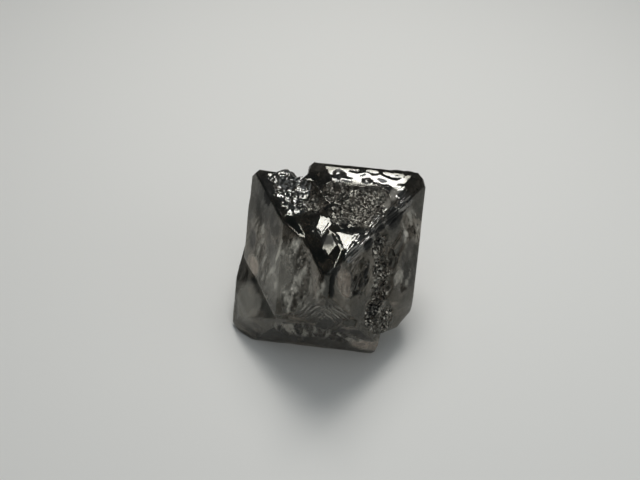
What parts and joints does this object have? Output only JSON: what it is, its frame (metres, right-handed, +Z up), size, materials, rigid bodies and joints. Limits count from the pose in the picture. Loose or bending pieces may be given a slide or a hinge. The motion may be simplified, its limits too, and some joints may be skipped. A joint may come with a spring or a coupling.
{
  "type": "rough diamond octahedron",
  "caption": "Natural uncut diamond crystal: a stepped, etched octahedron lying on one flat triangular face, clear grey with frosted and pitted areas.",
  "frame": {"origin": "middle of the crystal's outline seen from above, on the surface it lies on", "axes": "+Z up, square to the flat face it rests on; -Y towards the front ridge; +X towards the overhanging right-hand edge"},
  "size_m": [0.0076, 0.008, 0.006],
  "materials": {
    "diamond": "glossy on the flat faces, frosted in the etched hollows"
  },
  "bodies": {
    "root": {"diamond_crystal": "diamond"}
  },
  "joints": []
}
